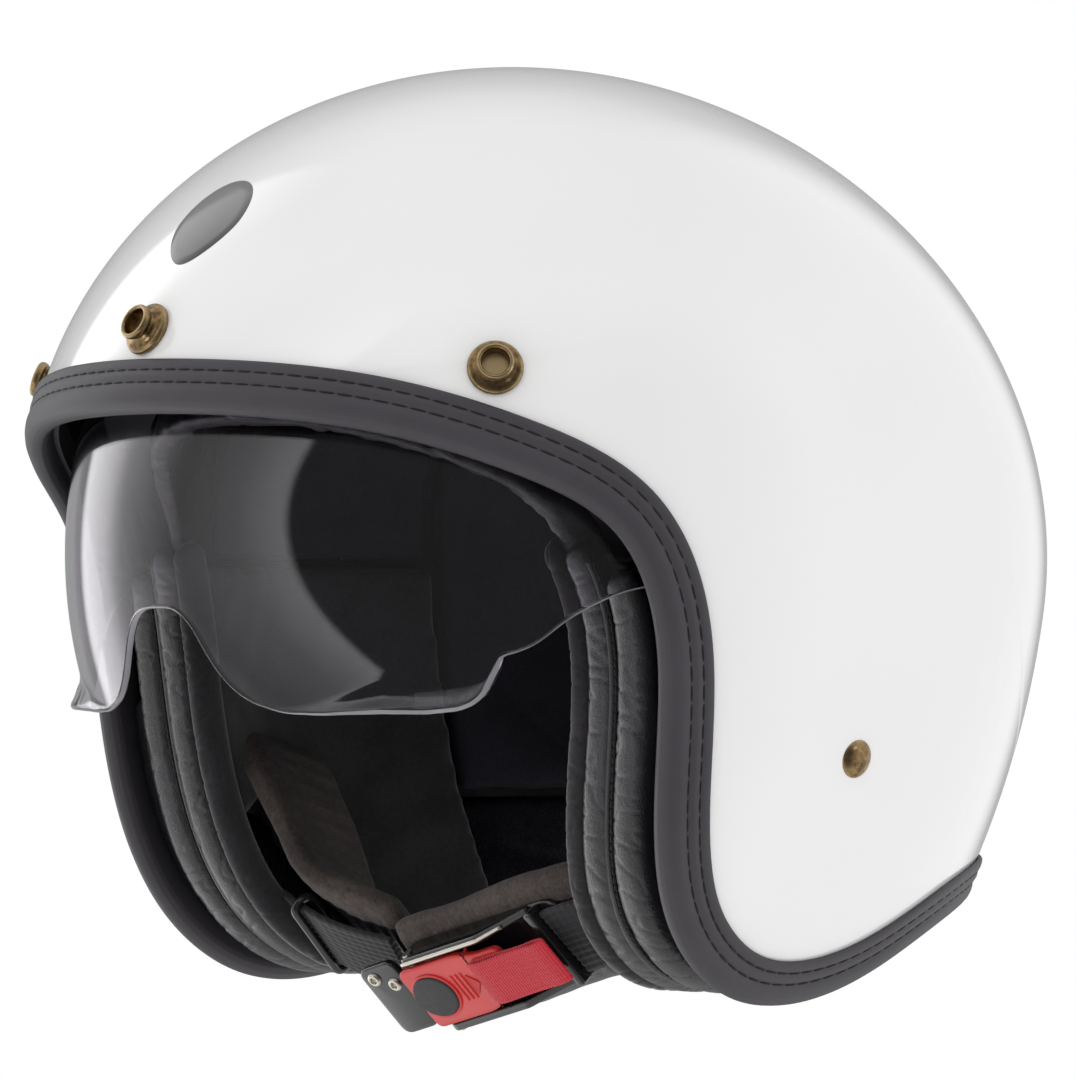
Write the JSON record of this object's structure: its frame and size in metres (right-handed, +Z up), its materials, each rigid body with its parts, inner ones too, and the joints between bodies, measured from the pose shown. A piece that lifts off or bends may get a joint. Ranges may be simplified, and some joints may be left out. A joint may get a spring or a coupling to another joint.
{
  "type": "open face motorcycle helmet",
  "caption": "Open face motorcycle helmet with a gloss shell, stitched leather edge, drop-down clear sun visor and buckled chin strap.",
  "frame": {"origin": "centre of the head space, midway between the side walls, at the centre line of the shell's widest stretch", "axes": "+Z up through the crown, -Y the way the wearer looks, +X the wearer's left"},
  "size_m": [0.248, 0.2695, 0.2458],
  "materials": {
    "shell_white": "gloss",
    "trim_leather": "matt",
    "liner_leather": "gloss",
    "liner_suede": "suede",
    "liner_mesh": "knit",
    "fleece": "fleece",
    "foam": "matt",
    "lens_clear": "polished",
    "antique_brass": "antique",
    "steel": "brushed",
    "black_plastic": "gloss",
    "soft_plastic": "matt",
    "webbing": "ribbed",
    "red_plastic": "satin",
    "red_webbing": "woven",
    "grey_rubber": "matt",
    "badge_print": "gloss"
  },
  "bodies": {
    "helmet": {"outer_shell": "shell_white", "edge_trim": "trim_leather", "front_badge": "badge_print", "brow_snap_studs": "antique_brass", "brow_snap_eyelets": "antique_brass", "brow_snap_washers": "steel", "strap_rivets": "antique_brass", "strap_rivet_spacers": "soft_plastic", "crown_foam": "foam", "cheek_core_left": "liner_leather", "cheek_core_right": "liner_leather", "cheek_pad_left": "liner_suede", "cheek_pad_right": "liner_suede", "brow_pad": "liner_leather", "nape_pad": "liner_mesh", "crown_pad_middle": "liner_mesh", "crown_pad_left": "liner_mesh", "crown_pad_right": "liner_mesh", "temple_pad_left": "liner_mesh", "temple_pad_right": "liner_mesh", "neck_roll": "liner_leather", "visor_gasket": "grey_rubber", "visor_hinge_plate_left": "soft_plastic", "visor_hinge_plate_right": "soft_plastic", "visor_pivot_screws": "soft_plastic", "visor_friction_washers": "soft_plastic", "hinge_plate_screws": "steel"},
    "sun_visor": {"visor_lens": "lens_clear"},
    "chin_strap": {"strap_webbing_left": "webbing", "strap_webbing_right": "webbing", "strap_cover_left": "fleece", "strap_cover_right": "fleece", "strap_anchor_plates": "steel", "strap_ring": "steel", "buckle_housing": "black_plastic", "lever_pin": "steel"},
    "buckle_lever": {"release_lever": "red_plastic", "lever_button": "grey_rubber", "pull_tab": "red_webbing"},
    "buckle_tongue": {"ratchet_tongue": "steel", "tongue_cap": "black_plastic", "tongue_rivets": "steel"}
  },
  "joints": [
    {"name": "visor_hinge", "type": "hinge", "parent": "helmet", "child": "sun_visor", "pos_m": [0, 0, -0.004], "axis": [-1, 0, 0], "range_deg": [0, 30]},
    {"name": "strap_swing", "type": "hinge", "parent": "helmet", "child": "chin_strap", "pos_m": [0, 0.003, -0.055], "axis": [1, 0, 0], "range_deg": [-6, 6]},
    {"name": "lever_hinge", "type": "hinge", "parent": "chin_strap", "child": "buckle_lever", "pos_m": [0.00063, -0.03256, -0.11435], "axis": [0.1833, 0.632, -0.753], "range_deg": [0, 22], "stiffness_Nm_per_rad": 0.05, "springref_deg": -8.59},
    {"name": "tongue_slide", "type": "slide", "parent": "chin_strap", "child": "buckle_tongue", "axis": [-0.9716, 0, -0.2365], "range_m": [0, 0.012]}
  ]
}
